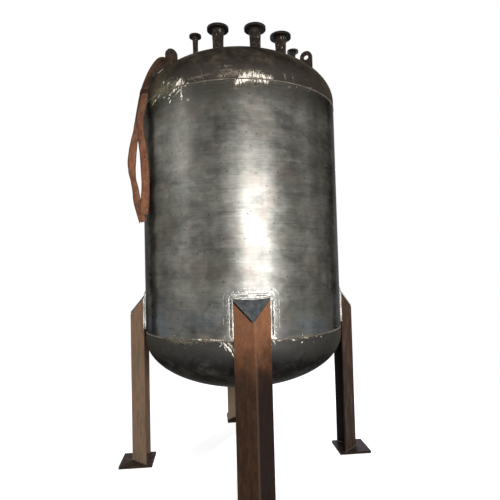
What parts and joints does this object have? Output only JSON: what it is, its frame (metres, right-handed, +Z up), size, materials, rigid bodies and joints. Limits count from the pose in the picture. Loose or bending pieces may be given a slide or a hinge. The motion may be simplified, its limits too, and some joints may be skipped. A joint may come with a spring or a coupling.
{
  "type": "chemical storage tank",
  "caption": "Upright welded steel storage tank with dished ends, top nozzles, bottom outlet, lifting lugs and angle legs on base plates, a webbing sling hung in one lug.",
  "frame": {"origin": "on the floor at the tank's axis", "axes": "+Z up along the tank's axis, -Y towards the front leg, +X to the right seen from the front"},
  "size_m": [1.734, 1.734, 2.87],
  "materials": {
    "shell_steel": "rolled plate with mill scale, scratched and mottled",
    "head_steel": "hot pressed, dark scale",
    "weld_metal": "weld bead, ground bright in places",
    "pad_steel": "cut plate with mill scale",
    "leg_steel": "rolled angle with light rust",
    "plate_steel": "cut plate with light rust",
    "flange_steel": "forged, dark oxide",
    "lug_steel": "cut plate, dark oxide",
    "sling_webbing": "woven polyester webbing, dirty"
  },
  "bodies": {
    "root": {"shell": "shell_steel", "top_head": "head_steel", "bottom_head": "head_steel", "top_seam_weld": "weld_metal", "bottom_seam_weld": "weld_metal", "shell_seam_weld": "weld_metal", "front_leg_pad": "pad_steel", "front_leg": "leg_steel", "front_leg_cap": "pad_steel", "front_leg_weld": "weld_metal", "front_base_plate": "plate_steel", "right_leg_pad": "pad_steel", "right_leg": "leg_steel", "right_leg_cap": "pad_steel", "right_leg_weld": "weld_metal", "right_base_plate": "plate_steel", "back_leg_pad": "pad_steel", "back_leg": "leg_steel", "back_leg_cap": "pad_steel", "back_leg_weld": "weld_metal", "back_base_plate": "plate_steel", "left_leg_pad": "pad_steel", "left_leg": "leg_steel", "left_leg_cap": "pad_steel", "left_leg_weld": "weld_metal", "left_base_plate": "plate_steel", "left_nozzle_pipe": "flange_steel", "left_nozzle_flange": "flange_steel", "centre_nozzle_pipe": "flange_steel", "centre_nozzle_flange": "flange_steel", "right_nozzle_pipe": "flange_steel", "right_nozzle_flange": "flange_steel", "small_left_nozzle_pipe": "flange_steel", "small_left_nozzle_flange": "flange_steel", "small_right_nozzle_pipe": "flange_steel", "small_right_nozzle_flange": "flange_steel", "bottom_outlet_pipe": "flange_steel", "bottom_outlet_flange": "flange_steel", "left_lifting_lug": "lug_steel", "right_lifting_lug": "lug_steel", "back_lifting_lug": "lug_steel", "sling_back_leg": "sling_webbing", "sling_front_leg": "sling_webbing"}
  },
  "joints": []
}
